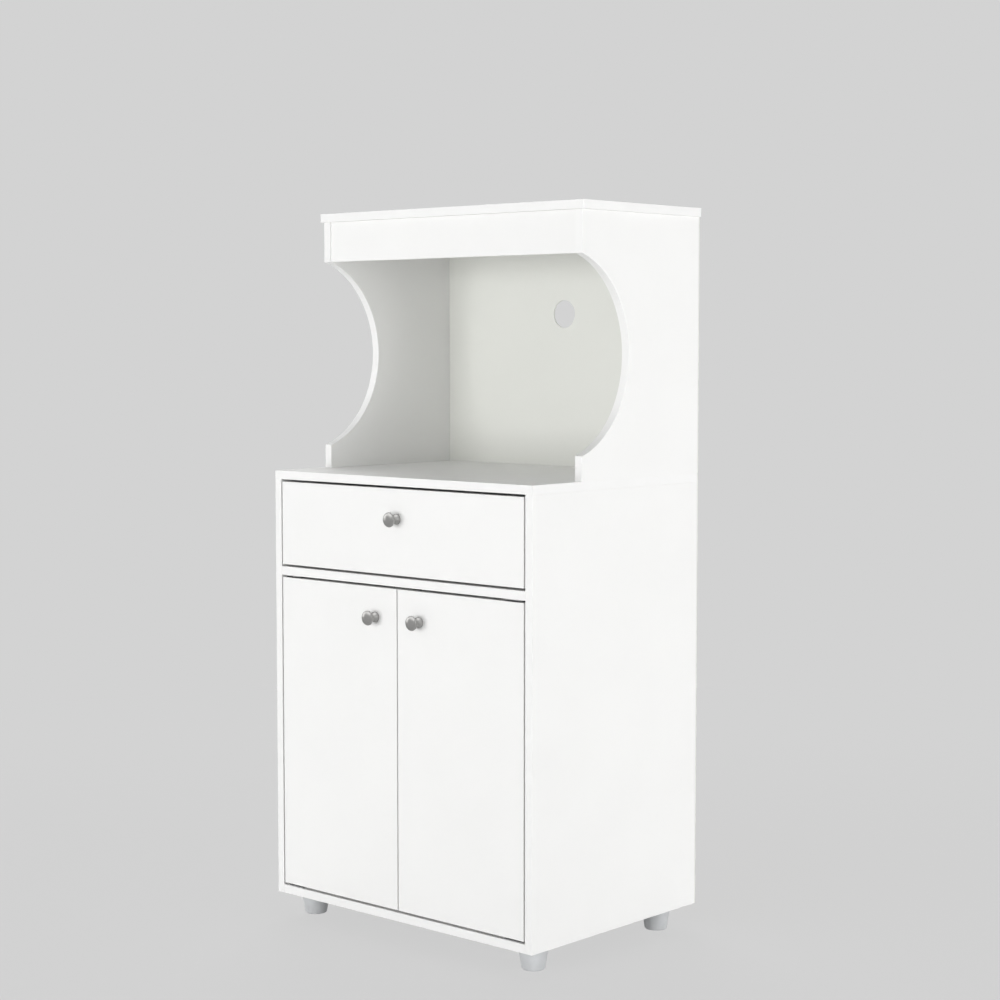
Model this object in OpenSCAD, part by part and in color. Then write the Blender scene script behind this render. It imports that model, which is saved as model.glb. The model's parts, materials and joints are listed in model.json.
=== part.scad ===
// Microwave cabinet: a base with one drawer over two inset doors, and an open hutch
// whose side panels have a C-shaped cut-out. Flat-pack construction in coated board.
// Millimetres, +Z up, the fronts face -Y, the feet stand on z = 0, and the origin is
// under the middle of the overall box, which the knobs' heads reach at the front.

/* [Cabinet] */
// Width across the side panels
cabinet_w = 600; // [500:10:800]
// Depth of the side panels
side_d = 430; // [410:10:500]
// Height of the base from its underside to the top of the worktop
base_h = 751.5; // [730:0.5:800]
// Thickness of the coated board
board_t = 15; // [15:1:18]
// Thickness of the hardboard backs
back_t = 3; // [3:0.5:4]

/* [Hutch] */
// Distance from the front of the base back to the front of the hutch
hutch_setback = 121; // [100:1:140]
// Height of the hutch side panels
hutch_side_h = 437; // [420:1:500]
// Height of the front rail, and of the side panels' straight edge above the cut-out
rail_h = 70; // [60:1:90]
// Height of the side panels' straight heel under the cut-out
heel_h = 41; // [38:1:80]
// Depth of the cut-out behind the panels' front edges
cut_depth = 120; // [80:1:140]
// Overhang of the hutch top past each side panel
top_side_overhang = 5; // [0:1:12]
// Overhang of the hutch top past the side panels' front edges
top_front_overhang = 4; // [0:1:12]
// Diameter of the cable hole in the hutch back
cable_hole_d = 50; // [30:1:60]
// Height of the cable hole's centre above the worktop
cable_hole_up = 275; // [150:1:350]

/* [Drawer and doors] */
// Height of the drawer front
drawer_front_h = 145; // [130:0.5:146]
// Gap above the drawer front
drawer_top_gap = 4; // [3:0.5:5]
// Gap beside the fronts
side_gap = 3; // [2.5:0.5:4]
// Gap between the two doors
middle_gap = 2.5; // [2:0.5:4]
// Gap above and below the doors, and below the drawer front
level_gap = 4; // [4:0.5:6]
// Height of the drawer's sides
drawer_side_h = 110; // [90:5:115]
// Length of the drawer's sides and of its runners
runner_len = 350; // [300:50:350]
// Clearance between the side panels and the drawer's sides
runner_space = 12.5; // [12.5:0.5:14]
// Distance of each door's pin from the door's outer edge
pin_inset = 10; // [10:0.5:14]

/* [Knobs] */
// Diameter of a knob's head
knob_d = 25; // [20:1:32]
// Length of a knob from its face on the front to the crown of its head
knob_len = 25; // [20:1:32]
// Distance of a door's knob from the middle of the cabinet
knob_out = 51.5; // [35:0.5:80]
// Drop of a door's knob below the door's top edge
knob_drop = 51; // [40:1:90]
// Drop of the drawer's knob below the drawer front's top edge
drawer_knob_drop = 50.5; // [40:0.5:80]

/* [Feet and shelf] */
// Height of the feet
foot_h = 40; // [30:1:60]
// Diameter of a foot at its top
foot_top_d = 52; // [40:1:54]
// Diameter of a foot where it stands on the floor
foot_floor_d = 38.5; // [34:0.5:40]
// Distance of the feet from the sides
foot_side_inset = 42; // [40:1:60]
// Distance of the front feet from the front
foot_front_inset = 52; // [40:1:80]
// Distance of the rear feet from the rear
foot_rear_inset = 58; // [40:1:80]
// Pin hole the shelf rests at, counted from the lowest
shelf_step = 2; // [0:1:4]

/* [Hidden] */
$fn = 48;
white = [0.955, 0.955, 0.95];
steel = [0.72, 0.73, 0.74];
zinc = [0.62, 0.63, 0.65];
nickel = [0.66, 0.66, 0.65];
nylon = [0.93, 0.93, 0.9];
foot_grey = [0.74, 0.76, 0.78];
beech = [0.82, 0.68, 0.48];
black = [0.12, 0.12, 0.13];
dull_zinc = [0.42, 0.42, 0.43];

// Levels and faces, with the base's underside at z = 0 and its front face at y = 0
half_w = cabinet_w / 2;
inner_x = half_w - board_t;
side_h = base_h - board_t;
hutch_top_z = base_h + hutch_side_h;
total_d = side_d + back_t;
front_y = -(total_d - knob_len) / 2;
drawer_front_top = side_h - drawer_top_gap;
drawer_front_z = drawer_front_top - drawer_front_h;
divider_top = drawer_front_z - level_gap;
divider_z = divider_top - board_t;
door_z = board_t + level_gap;
door_top = divider_z - level_gap;
door_middle_z = (door_z + door_top) / 2;
front_edge_x = inner_x - side_gap;

// Cut-out: an arc through the top and bottom of the straight edges, cut_depth deep
cut_h = hutch_side_h - rail_h - heel_h;
cut_r = (pow(cut_h / 2, 2) + pow(cut_depth, 2)) / (2 * cut_depth);
cut_centre_y = hutch_setback + cut_depth - cut_r;
cut_centre_z = base_h + heel_h + cut_h / 2;
rail_recess = 3;
rail_y = hutch_setback + rail_recess;
rail_z = hutch_top_z - rail_h;

// Cam fittings: local +X runs from the joint into the panel with the cam
cam_r = 7.5;
cam_h = 12;
cam_reach = 34;
bolt_thread_r = 2.5;
bolt_thread_len = 11;
bolt_shank_r = 3.5;
bolt_hole_r = 4;
dowel_r = 4;
dowel_in = 9;
dowel_out = 20;
dowel_offset = 32;
end_play = 0.5;
base_cam_ys = [72, side_d - 84];
base_dowel_ys = [72 + dowel_offset, side_d - 84 - dowel_offset];
hutch_cam_ys = [hutch_setback + 50, side_d - 40];
hutch_dowel_ys = [hutch_setback + 50 + dowel_offset, side_d - 40 - dowel_offset];
hutch_screw_ys = [hutch_setback + 45, side_d - 35];
rail_cam_z = rail_z + rail_h / 2 - 12;
rail_dowel_z = rail_z + rail_h / 2 + 16;

// Shelf pins in the system holes of the side panels
shelf_hole_r = 2.5;
shelf_hole_depth = 10;
shelf_hole_pitch = 32;
shelf_hole_count = 5;
shelf_hole_ys = [77, side_d - 53];
shelf_hole_base = door_middle_z - 2 * shelf_hole_pitch;
shelf_pin_z = shelf_hole_base + shelf_step * shelf_hole_pitch;
shelf_end_gap = 2;
shelf_front_y = 40;
shelf_rear_gap = 5;

// Drawer box and its roller runners, measured inwards from the side panel
drawer_x = inner_x - runner_space;
drawer_inner_x = drawer_x - board_t;
drawer_z = divider_top + 12;
drawer_rear_y = board_t + runner_len;
groove_up = 10;
groove_deep = 5;
sheet = 1.2;
runner_y = board_t + 2;
track_w = 6.5;
track_z = drawer_z - 0.3;
keeper_z = drawer_z + 22.5;
flange_u = track_w + 0.3;
flange_z = drawer_z + 18.8;
web_u = runner_space - sheet;
axle_r = 2.5;
running_play = 0.05;
roller_w = 4;
front_roller_r = 9.2;
front_roller_y = runner_y + 12;
front_roller_z = flange_z - 0.2 - front_roller_r;
front_roller_u = flange_u + 0.1;
rear_roller_r = 11;
rear_roller_y = drawer_rear_y - 14;
rear_roller_z = track_z + 0.3 + rear_roller_r;
rear_roller_u = sheet + 0.6;

// Pin hinges in the gaps above and below each door
plate_t = 1.6;
plate_r = 5.5;
plate_len = 34;
plate_screws = [16, 27];
pin_r = 2.5;
pin_into_door = 10;
pin_u = side_gap + pin_inset;
pin_y = board_t / 2;
washer_t = level_gap - plate_t - 0.2;

// Screws and nails
fitting_screw_len = 13;
runner_screw_len = 12;
door_screw_len = 25;
drawer_back_screw_len = 40;
hutch_screw_len = 45;
knob_screw_r = 2;
knob_screw_in = 12;
drawer_knob_z = drawer_front_top - drawer_knob_drop;
door_knob_z = door_top - knob_drop;
nail_r = 0.8;
nail_head_r = 2.4;
nail_head_h = 0.6;
nail_len = 18;
back_reveal = 0.5;
foot_ys = [foot_front_inset, total_d - foot_rear_inset];

// ---- placing -------------------------------------------------------------------------

// From the base's front bottom edge to the cabinet's place over its feet
module in_cabinet() translate([0, front_y, foot_h]) children();

// The right half as drawn, and its mirror image on the left
module both_halves() {
    children();
    mirror([1, 0, 0]) children();
}

module left_half() mirror([1, 0, 0]) children();

// x counted inwards from the right side panel's inner face
module from_side() translate([inner_x, 0, 0]) mirror([1, 0, 0]) children();

// The top end of the doors as drawn, and its mirror image at their bottom end
module both_door_ends() {
    children();
    translate([0, 0, 2 * door_middle_z]) mirror([0, 0, 1]) children();
}

module at_pin() translate([pin_u, pin_y, 0]) children();

module at_plate_screws() for (along = plate_screws) translate([along, 0, 0]) children();

module at_worktop_joints(ys)
    for (y = ys) translate([inner_x + board_t / 2, y, side_h]) rotate([0, 90, 180]) children();

module at_panel_joints(ys, z)
    for (y = ys) translate([inner_x, y, z + board_t / 2]) rotate([0, 180, 0]) children();

module at_hutch_top_joints(ys)
    for (y = ys)
        translate([inner_x + board_t / 2, y, hutch_top_z]) rotate([0, 90, 180]) children();

module at_rail_joint(z)
    translate([inner_x, rail_y + board_t / 2, z]) rotate([90, 0, 180]) children();

module at_heel_joints(ys)
    for (y = ys) translate([inner_x + board_t / 2, y, base_h]) rotate([0, -90, 0]) children();

module at_drawer_joint(up)
    translate([drawer_x - board_t / 2, board_t, drawer_z + up]) rotate([-90, 0, 90]) children();

module at_hutch_screws()
    for (y = hutch_screw_ys)
        translate([inner_x + board_t / 2, y, side_h]) rotate([180, 0, 0]) children();

module at_feet() for (y = foot_ys) translate([half_w - foot_side_inset, y, 0]) children();

module at_shelf_holes(steps)
    from_side() for (y = shelf_hole_ys, step = steps)
        translate([0, y, shelf_hole_base + step * shelf_hole_pitch]) rotate([0, 90, 0]) children();

module at_cabinet_runner_screws()
    from_side() for (along = [40, 175, 310])
        translate([sheet, runner_y + along, drawer_z + 11]) rotate([0, 90, 0]) children();

module at_drawer_runner_screws()
    from_side() for (along = [40, 250])
        translate([web_u, runner_y + along, drawer_z + 9]) rotate([0, -90, 0]) children();

module at_drawer_back_screws()
    from_side() for (up = [40, 90])
        translate([runner_space, drawer_rear_y - board_t / 2, drawer_z + up])
            rotate([0, -90, 0]) children();

// Nails through the backs: down each side edge, and along each cross panel's rear edge
module at_nails() {
    translate([0, total_d, 0]) rotate([-90, 0, 0]) {
        for (z = [60 : (base_h - 120) / 4 : base_h - 59], s = [-1, 1])
            translate([s * (half_w - board_t / 2), -z, 0]) children();
        for (z = [board_t / 2, divider_z + board_t / 2, side_h + board_t / 2], x = [-150, 0, 150])
            translate([x, -z, 0]) children();
        for (up = [50, hutch_side_h / 2, hutch_side_h - 40], s = [-1, 1])
            translate([s * (half_w - board_t / 2), -base_h - up, 0]) children();
        for (x = [-150, 0, 150]) translate([x, -hutch_top_z - board_t / 2, 0]) children();
    }
}

// ---- fittings ------------------------------------------------------------------------

// Countersunk screw with its head's face at z = 0, pointing down
module screw_form(length, r = 1.75, head_r = 3.3) {
    head_h = head_r - r;
    tip_h = 2 * r;
    translate([0, 0, -head_h]) cylinder(r1 = r, r2 = head_r, h = head_h);
    translate([0, 0, tip_h - length]) cylinder(r = r, h = length - tip_h - head_h);
    translate([0, 0, -length]) cylinder(r1 = 0.3, r2 = r, h = tip_h);
}

module screw(length, r = 1.75, head_r = 3.3) {
    difference() {
        screw_form(length, r, head_r);
        for (turn = [0, 90]) rotate(turn) cube([head_r * 1.1, 0.8, 2], center = true);
    }
}

module nail_form() {
    translate([0, 0, -nail_head_h]) cylinder(r = nail_head_r, h = nail_head_h);
    translate([0, 0, -nail_len]) cylinder(r = nail_r, h = nail_len - nail_head_h);
}

module cam_joint_holes() {
    rotate([0, 90, 0]) {
        translate([0, 0, -bolt_thread_len]) cylinder(r = bolt_thread_r, h = bolt_thread_len);
        cylinder(r = bolt_hole_r, h = cam_reach);
    }
    translate([cam_reach, 0, board_t / 2 - cam_h]) cylinder(r = cam_r, h = cam_h + 1);
}

module cam_lock() {
    difference() {
        translate([cam_reach, 0, board_t / 2 - cam_h]) cylinder(r = cam_r, h = cam_h);
        // hollow round the bolt's head
        translate([cam_reach - cam_r - 1, 0, 0]) rotate([0, 90, 0])
            cylinder(r = bolt_hole_r, h = cam_r + 4);
        // cross slot for the screwdriver
        for (turn = [45, 135]) translate([cam_reach, 0, board_t / 2]) rotate(turn)
            cube([9, 1.6, 4], center = true);
    }
}

module cam_bolt() {
    neck_len = 5;
    head_len = 4;
    shank_len = cam_reach - neck_len - head_len - 1;
    rotate([0, 90, 0]) {
        translate([0, 0, -bolt_thread_len]) cylinder(r = bolt_thread_r, h = bolt_thread_len);
        cylinder(r = bolt_shank_r, h = shank_len);
        translate([0, 0, shank_len]) cylinder(r = 2, h = neck_len);
        translate([0, 0, shank_len + neck_len]) cylinder(r = 3.4, h = head_len);
    }
}

module dowel()
    rotate([0, 90, 0]) translate([0, 0, -dowel_in]) cylinder(r = dowel_r, h = dowel_in + dowel_out);

module dowel_hole()
    rotate([0, 90, 0]) translate([0, 0, -dowel_in - end_play])
        cylinder(r = dowel_r, h = dowel_in + dowel_out + 2 * end_play);

// Every joint of the fixed carcass, right half
module at_cam_joints() {
    at_worktop_joints(base_cam_ys) children();
    at_panel_joints(base_cam_ys, 0) children();
    at_panel_joints(base_cam_ys, divider_z) children();
    at_hutch_top_joints(hutch_cam_ys) children();
    at_rail_joint(rail_cam_z) children();
}

module at_dowels() {
    at_worktop_joints(base_dowel_ys) children();
    at_panel_joints(base_dowel_ys, 0) children();
    at_panel_joints(base_dowel_ys, divider_z) children();
    at_hutch_top_joints(hutch_dowel_ys) children();
    at_rail_joint(rail_dowel_z) children();
    at_heel_joints(hutch_dowel_ys) children();
}

// ---- base cabinet --------------------------------------------------------------------

module base_side() {
    color(white) in_cabinet() difference() {
        translate([inner_x, 0, 0]) cube([board_t, side_d, side_h]);
        at_worktop_joints(base_cam_ys) cam_joint_holes();
        at_worktop_joints(base_dowel_ys) dowel_hole();
        for (z = [0, divider_z]) {
            at_panel_joints(base_cam_ys, z) cam_joint_holes();
            at_panel_joints(base_dowel_ys, z) dowel_hole();
        }
        at_shelf_holes([0 : shelf_hole_count - 1])
            translate([0, 0, -shelf_hole_depth]) cylinder(r = shelf_hole_r, h = shelf_hole_depth);
        at_cabinet_runner_screws() screw_form(fitting_screw_len);
        at_nails() nail_form();
    }
}

module base_side_right() base_side();
module base_side_left() left_half() base_side();

// Bottom panel and divider: between the sides, with cams in their undersides
module cross_panel(z) {
    translate([-inner_x, 0, z]) cube([2 * inner_x, side_d, board_t]);
}

module cross_panel_holes(z) {
    both_halves() {
        at_panel_joints(base_cam_ys, z) cam_joint_holes();
        at_panel_joints(base_dowel_ys, z) dowel_hole();
        from_side() both_door_ends() at_frame_plate_screws() screw_form(fitting_screw_len);
    }
    at_nails() nail_form();
}

module base_bottom_panel() {
    color(white) in_cabinet() difference() {
        cross_panel(0);
        cross_panel_holes(0);
        both_halves() at_feet() foot_screw_place() screw_form(foot_screw_len, 2.2, 4.2);
    }
}

module divider_panel() {
    color(white) in_cabinet() difference() {
        cross_panel(divider_z);
        cross_panel_holes(divider_z);
        both_halves() at_catch_screw() screw_form(fitting_screw_len);
    }
}

module worktop() {
    color(white) in_cabinet() difference() {
        translate([-half_w, 0, side_h]) cube([cabinet_w, side_d, board_t]);
        both_halves() {
            at_worktop_joints(base_cam_ys) cam_joint_holes();
            at_worktop_joints(base_dowel_ys) dowel_hole();
            at_heel_joints(hutch_dowel_ys) dowel_hole();
            at_hutch_screws() screw_form(hutch_screw_len, 2.2, 4.2);
        }
        at_nails() nail_form();
    }
}

module base_back_panel() {
    color(white) in_cabinet() difference() {
        translate([back_reveal - half_w, side_d, back_reveal])
            cube([cabinet_w - 2 * back_reveal, back_t, base_h - 1 - back_reveal]);
        at_nails() nail_form();
    }
}

module adjustable_shelf() {
    color(white) in_cabinet()
        translate([shelf_end_gap - inner_x, shelf_front_y, shelf_pin_z + shelf_hole_r])
            cube([2 * (inner_x - shelf_end_gap), side_d - shelf_front_y - shelf_rear_gap, board_t]);
}

module shelf_pins() {
    color(steel) in_cabinet() both_halves() at_shelf_holes([shelf_step]) {
        translate([0, 0, 1 - shelf_hole_depth]) cylinder(r = shelf_hole_r, h = 18);
        cylinder(r = 3.4, h = 1.2);
    }
}

// ---- hutch ---------------------------------------------------------------------------

module hutch_side() {
    color(white) in_cabinet() difference() {
        translate([inner_x, hutch_setback, base_h])
            cube([board_t, side_d - hutch_setback, hutch_side_h]);
        // C-shaped cut-out
        translate([inner_x - 1, cut_centre_y, cut_centre_z]) rotate([0, 90, 0])
            cylinder(r = cut_r, h = board_t + 2, $fn = 180);
        at_hutch_top_joints(hutch_cam_ys) cam_joint_holes();
        at_hutch_top_joints(hutch_dowel_ys) dowel_hole();
        at_heel_joints(hutch_dowel_ys) dowel_hole();
        at_rail_joint(rail_cam_z) cam_joint_holes();
        at_rail_joint(rail_dowel_z) dowel_hole();
        at_hutch_screws() screw_form(hutch_screw_len, 2.2, 4.2);
        at_nails() nail_form();
    }
}

module hutch_side_right() hutch_side();
module hutch_side_left() left_half() hutch_side();

module hutch_top() {
    top_w = cabinet_w + 2 * top_side_overhang;
    top_y = hutch_setback - top_front_overhang;
    color(white) in_cabinet() difference() {
        translate([-top_w / 2, top_y, hutch_top_z]) cube([top_w, side_d - top_y, board_t]);
        both_halves() {
            at_hutch_top_joints(hutch_cam_ys) cam_joint_holes();
            at_hutch_top_joints(hutch_dowel_ys) dowel_hole();
        }
        at_nails() nail_form();
    }
}

module hutch_rail() {
    color(white) in_cabinet() difference() {
        translate([-inner_x, rail_y, rail_z]) cube([2 * inner_x, board_t, rail_h]);
        both_halves() {
            at_rail_joint(rail_cam_z) cam_joint_holes();
            at_rail_joint(rail_dowel_z) dowel_hole();
        }
    }
}

module hutch_back_panel() {
    color(white) in_cabinet() difference() {
        translate([back_reveal - half_w, side_d, base_h])
            cube([cabinet_w - 2 * back_reveal, back_t, hutch_side_h + board_t - back_reveal]);
        translate([0, side_d - 1, base_h + cable_hole_up]) rotate([-90, 0, 0])
            cylinder(d = cable_hole_d, h = back_t + 2, $fn = 96);
        at_nails() nail_form();
    }
}

// ---- feet ----------------------------------------------------------------------------

foot_wall = 2.4;
foot_floor_t = 5;
foot_boss_r = 6;
foot_head_recess = 3;
foot_screw_len = foot_h - foot_head_recess + 12;

module foot_screw_place() translate([0, 0, foot_head_recess - foot_h]) rotate([180, 0, 0]) children();

// Tapered hollow foot with a straight collar, four ribs and a boss round its screw
module foot() {
    top_r = foot_top_d / 2;
    floor_r = foot_floor_d / 2;
    collar_h = 3;
    edge = 1.5;
    rib_t = 1.6;
    rib_top = foot_h - collar_h;
    rib_in_wall = 0.6;
    wall_lean = (top_r - floor_r) / (foot_h - foot_floor_t);
    color(foot_grey) translate([0, 0, -foot_h]) difference() {
        union() {
            rotate_extrude($fn = 64) difference() {
                polygon([[0, 0], [floor_r - edge, 0], [floor_r, edge], [top_r - 0.6, foot_h - collar_h],
                         [top_r, foot_h - collar_h], [top_r, foot_h], [0, foot_h]]);
                polygon([[0, foot_floor_t], [floor_r - foot_wall, foot_floor_t],
                         [top_r - foot_wall, foot_h + 0.1], [0, foot_h + 0.1]]);
            }
            cylinder(r = foot_boss_r, h = foot_h);
            for (turn = [0 : 90 : 270]) rotate([90, 0, turn])
                linear_extrude(rib_t, center = true)
                    polygon([[foot_boss_r - 1, foot_floor_t - 1],
                             [floor_r - foot_wall + rib_in_wall, foot_floor_t - 1],
                             [top_r - foot_wall + rib_in_wall - wall_lean * (foot_h - rib_top), rib_top],
                             [foot_boss_r - 1, rib_top]]);
        }
        translate([0, 0, foot_head_recess]) rotate([180, 0, 0]) screw_form(foot_screw_len, 2.2, 4.2);
        translate([0, 0, -1]) cylinder(r = 5, h = foot_head_recess + 1);
    }
}

module foot_front_right() in_cabinet() translate([half_w - foot_side_inset, foot_ys[0], 0]) foot();
module foot_rear_right() in_cabinet() translate([half_w - foot_side_inset, foot_ys[1], 0]) foot();
module foot_front_left() left_half() foot_front_right();
module foot_rear_left() left_half() foot_rear_right();

module foot_screws() {
    color(zinc) in_cabinet() both_halves() at_feet() foot_screw_place()
        screw(foot_screw_len, 2.2, 4.2);
}

// ---- carcass fittings ----------------------------------------------------------------

module cam_locks() color(zinc) in_cabinet() both_halves() at_cam_joints() cam_lock();
module cam_bolts() color(steel) in_cabinet() both_halves() at_cam_joints() cam_bolt();
module dowels() color(beech) in_cabinet() both_halves() at_dowels() dowel();
module hutch_screws() color(zinc) in_cabinet() both_halves() at_hutch_screws() screw(hutch_screw_len, 2.2, 4.2);
module back_nails() color(zinc) in_cabinet() at_nails() nail_form();

// Short screws of the runners, the hinges' frame plates and the catch
module fitting_screws() {
    color(zinc) in_cabinet() both_halves() {
        at_cabinet_runner_screws() screw(fitting_screw_len);
        from_side() both_door_ends() at_frame_plate_screws() screw(fitting_screw_len);
        at_catch_screw() screw(fitting_screw_len);
    }
}

// ---- drawer runners ------------------------------------------------------------------

// Cabinet member: a channel the rear roller runs in, with the front roller's axle
module cabinet_runner() {
    head_t = 0.9;
    color(white) in_cabinet() difference() {
        from_side() {
            translate([0, runner_y, track_z - sheet])
                cube([sheet, runner_len, keeper_z - track_z + 2 * sheet]);
            translate([0, runner_y, track_z - sheet]) cube([track_w, runner_len, sheet]);
            translate([0, runner_y + 26, keeper_z]) cube([track_w, runner_len - 26, sheet]);
            // stop behind the rear roller
            translate([0, runner_y + runner_len - sheet, track_z - sheet])
                cube([track_w, sheet, 8]);
            translate([0, front_roller_y, front_roller_z]) rotate([0, 90, 0]) {
                cylinder(r = 4, h = front_roller_u - 0.1);
                cylinder(r = axle_r, h = front_roller_u + roller_w - head_t);
                translate([0, 0, front_roller_u + roller_w - head_t]) cylinder(r = 4, h = head_t);
            }
        }
        at_cabinet_runner_screws() screw_form(fitting_screw_len);
    }
}

module cabinet_runner_right() cabinet_runner();
module cabinet_runner_left() left_half() cabinet_runner();

// Roller with a bore for its axle, and a seat that the axle's head lies in
module roller(r) {
    seat_r = 4.4;
    seat_h = 1.2;
    difference() {
        cylinder(r = r, h = roller_w);
        translate([0, 0, -1]) cylinder(r = axle_r + running_play, h = roller_w + 2);
        translate([0, 0, roller_w - seat_h]) cylinder(r = seat_r, h = seat_h + 1);
    }
}

module front_rollers() {
    color(nylon) in_cabinet() both_halves() from_side()
        translate([front_roller_u, front_roller_y, front_roller_z]) rotate([0, 90, 0])
            roller(front_roller_r);
}

// Drawer member: an angle under the drawer's side, with a flange the front roller carries
module drawer_runner() {
    head_t = 0.9;
    member_len = drawer_rear_y - runner_y;
    color(white) in_cabinet() difference() {
        from_side() {
            translate([web_u, runner_y, drawer_z - sheet])
                cube([sheet, member_len, flange_z - drawer_z + 2 * sheet]);
            translate([web_u, runner_y, drawer_z - sheet]) cube([13, member_len, sheet]);
            translate([flange_u, runner_y, flange_z]) cube([web_u - flange_u + 1, member_len, sheet]);
            translate([web_u + 1, rear_roller_y, rear_roller_z]) rotate([0, -90, 0]) {
                cylinder(r = 4, h = web_u + 0.9 - rear_roller_u - roller_w);
                cylinder(r = axle_r, h = web_u + 1 - rear_roller_u - head_t);
                translate([0, 0, web_u + 1 - rear_roller_u - head_t]) cylinder(r = 4, h = head_t);
            }
        }
        at_drawer_runner_screws() screw_form(runner_screw_len);
    }
}

module drawer_runner_right() drawer_runner();
module drawer_runner_left() left_half() drawer_runner();

module rear_rollers() {
    color(nylon) in_cabinet() both_halves() from_side()
        translate([rear_roller_u + roller_w, rear_roller_y, rear_roller_z]) rotate([0, -90, 0])
            roller(rear_roller_r);
}

// ---- drawer --------------------------------------------------------------------------

drawer_joint_ups = [40];
drawer_dowel_ups = [20, 90];

module drawer_bottom_form() {
    translate([-drawer_inner_x - groove_deep, board_t - groove_deep, drawer_z + groove_up])
        cube([2 * (drawer_inner_x + groove_deep), runner_len + groove_deep, back_t]);
}

module drawer_front() {
    color(white) in_cabinet() difference() {
        translate([-front_edge_x, 0, drawer_front_z])
            cube([2 * front_edge_x, board_t, drawer_front_h]);
        drawer_bottom_form();
        both_halves() {
            for (up = drawer_joint_ups) at_drawer_joint(up) cam_joint_holes();
            for (up = drawer_dowel_ups) at_drawer_joint(up) dowel_hole();
        }
        knob_hole(0, drawer_knob_z);
    }
}

module drawer_side() {
    color(white) in_cabinet() difference() {
        translate([drawer_inner_x, board_t, drawer_z]) cube([board_t, runner_len, drawer_side_h]);
        drawer_bottom_form();
        for (up = drawer_joint_ups) at_drawer_joint(up) cam_joint_holes();
        for (up = drawer_dowel_ups) at_drawer_joint(up) dowel_hole();
        at_drawer_runner_screws() screw_form(runner_screw_len);
        at_drawer_back_screws() screw_form(drawer_back_screw_len, 2, 3.8);
    }
}

module drawer_side_right() drawer_side();
module drawer_side_left() left_half() drawer_side();

module drawer_back() {
    back_up = groove_up + back_t;
    color(white) in_cabinet() difference() {
        translate([-drawer_inner_x, drawer_rear_y - board_t, drawer_z + back_up])
            cube([2 * drawer_inner_x, board_t, drawer_side_h - back_up]);
        both_halves() at_drawer_back_screws() screw_form(drawer_back_screw_len, 2, 3.8);
    }
}

module drawer_bottom() color(white) in_cabinet() drawer_bottom_form();

module drawer_runner_screws()
    color(zinc) in_cabinet() both_halves() at_drawer_runner_screws() screw(runner_screw_len);

module drawer_back_screws()
    color(zinc) in_cabinet() both_halves() at_drawer_back_screws()
        screw(drawer_back_screw_len, 2, 3.8);

module drawer_cam_locks()
    color(zinc) in_cabinet() both_halves()
        for (up = drawer_joint_ups) at_drawer_joint(up) cam_lock();

module drawer_cam_bolts()
    color(steel) in_cabinet() both_halves()
        for (up = drawer_joint_ups) at_drawer_joint(up) cam_bolt();

module drawer_dowels()
    color(beech) in_cabinet() both_halves()
        for (up = drawer_dowel_ups) at_drawer_joint(up) dowel();

// ---- hinges and catch ----------------------------------------------------------------

// Plate with a round eye at the pin and two countersunk holes, from z = 0 up
module hinge_plate(hole_r) {
    difference() {
        union() {
            cylinder(r = plate_r, h = plate_t);
            translate([0, -plate_r, 0]) cube([plate_len, 2 * plate_r, plate_t]);
        }
        translate([0, 0, -1]) cylinder(r = hole_r, h = plate_t + 2);
        children();
    }
}

module at_frame_plate_screws()
    at_pin() at_plate_screws() translate([0, 0, divider_z - plate_t]) rotate([180, 0, 0]) children();

module hinge_frame_plates() {
    color(dull_zinc) in_cabinet() both_halves() from_side() both_door_ends() at_pin()
        translate([0, 0, divider_z - plate_t]) hinge_plate(pin_r)
            at_plate_screws() rotate([180, 0, 0]) screw_form(fitting_screw_len);
}

module hinge_pins() {
    color(steel) in_cabinet() both_halves() from_side() both_door_ends() at_pin()
        translate([0, 0, door_top - plate_t - pin_into_door])
            cylinder(r = pin_r, h = pin_into_door + 2 * plate_t + washer_t + 0.2);
}

module hinge_washers() {
    color(black) in_cabinet() both_halves() from_side() both_door_ends() at_pin()
        translate([0, 0, divider_z - plate_t - washer_t]) difference() {
            cylinder(r = 5, h = washer_t);
            translate([0, 0, -1]) cylinder(r = pin_r, h = washer_t + 2);
        }
}

module door_hinge_plates() {
    color(dull_zinc) in_cabinet() from_side() both_door_ends() at_pin()
        translate([0, 0, door_top - plate_t]) hinge_plate(pin_r + running_play)
            at_plate_screws() translate([0, 0, plate_t]) screw_form(door_screw_len);
}

module door_hinge_screws() {
    color(zinc) in_cabinet() from_side() both_door_ends() at_pin() at_plate_screws()
        translate([0, 0, door_top]) screw(door_screw_len);
}

module door_right_hinge_plates() door_hinge_plates();
module door_left_hinge_plates() left_half() door_hinge_plates();
module door_right_hinge_screws() door_hinge_screws();
module door_left_hinge_screws() left_half() door_hinge_screws();

// Double magnetic catch in the middle, under the divider
catch_w = 48;
catch_d = 17;
catch_h = 13;
catch_y = board_t + 2.2;
magnet_w = 17;
magnet_h = 6;
magnet_x = 4;
magnet_front_y = board_t + 1.5;
strike_t = 1.2;

module catch_magnet_forms()
    both_halves() translate([magnet_x, magnet_front_y, divider_z - catch_h + 3])
        cube([magnet_w, 8, magnet_h]);

module at_catch_screw()
    translate([catch_w / 2 + 5, catch_y + catch_d / 2, divider_z - 2]) rotate([180, 0, 0]) children();

module catch_body() {
    color(black) in_cabinet() difference() {
        union() {
            translate([-catch_w / 2, catch_y, divider_z - catch_h]) cube([catch_w, catch_d, catch_h]);
            both_halves() translate([0, catch_y + 2, divider_z - 2])
                cube([catch_w / 2 + 10, catch_d - 4, 2]);
        }
        catch_magnet_forms();
        both_halves() at_catch_screw() screw_form(fitting_screw_len);
    }
}

module catch_magnets() color(black) in_cabinet() catch_magnet_forms();

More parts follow.
